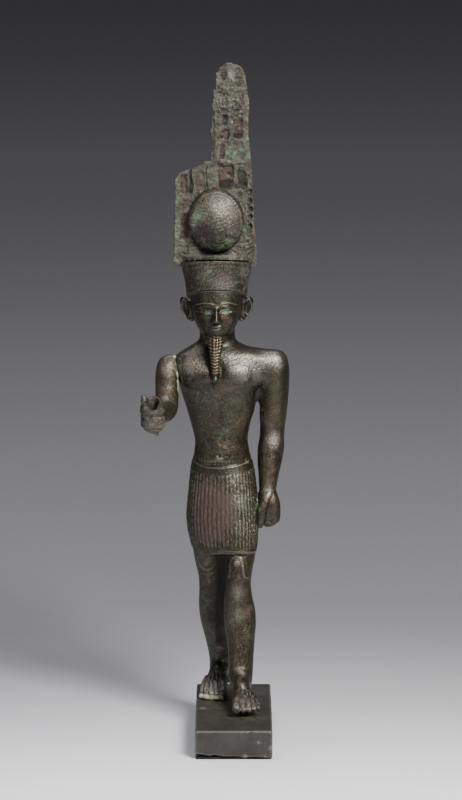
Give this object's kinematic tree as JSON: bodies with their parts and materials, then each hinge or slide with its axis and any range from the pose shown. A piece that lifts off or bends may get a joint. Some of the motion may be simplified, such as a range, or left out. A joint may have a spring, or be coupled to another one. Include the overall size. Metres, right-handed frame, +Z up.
{
  "type": "striding god statuette",
  "caption": "Cast bronze statuette of a striding god in a kilt and plumed crown with sun disc, one plume broken off, on a rectangular plinth.",
  "frame": {"origin": "centre of the plinth's underside", "axes": "+Z up; the figure faces -Y; +X is the figure's left"},
  "size_m": [0.0505, 0.069, 0.2312],
  "materials": {
    "dark_bronze": "dark brown patina, worn bright on the high places",
    "arm_bronze": "brown patina, pale corrosion at the joint",
    "green_bronze": "rough brown and green corroded patina",
    "plinth_bronze": "dull dark grey-brown patina"
  },
  "bodies": {
    "root": {"figure": "dark_bronze", "right_arm": "arm_bronze", "plumes_and_disc": "green_bronze", "plinth": "plinth_bronze"}
  },
  "joints": []
}
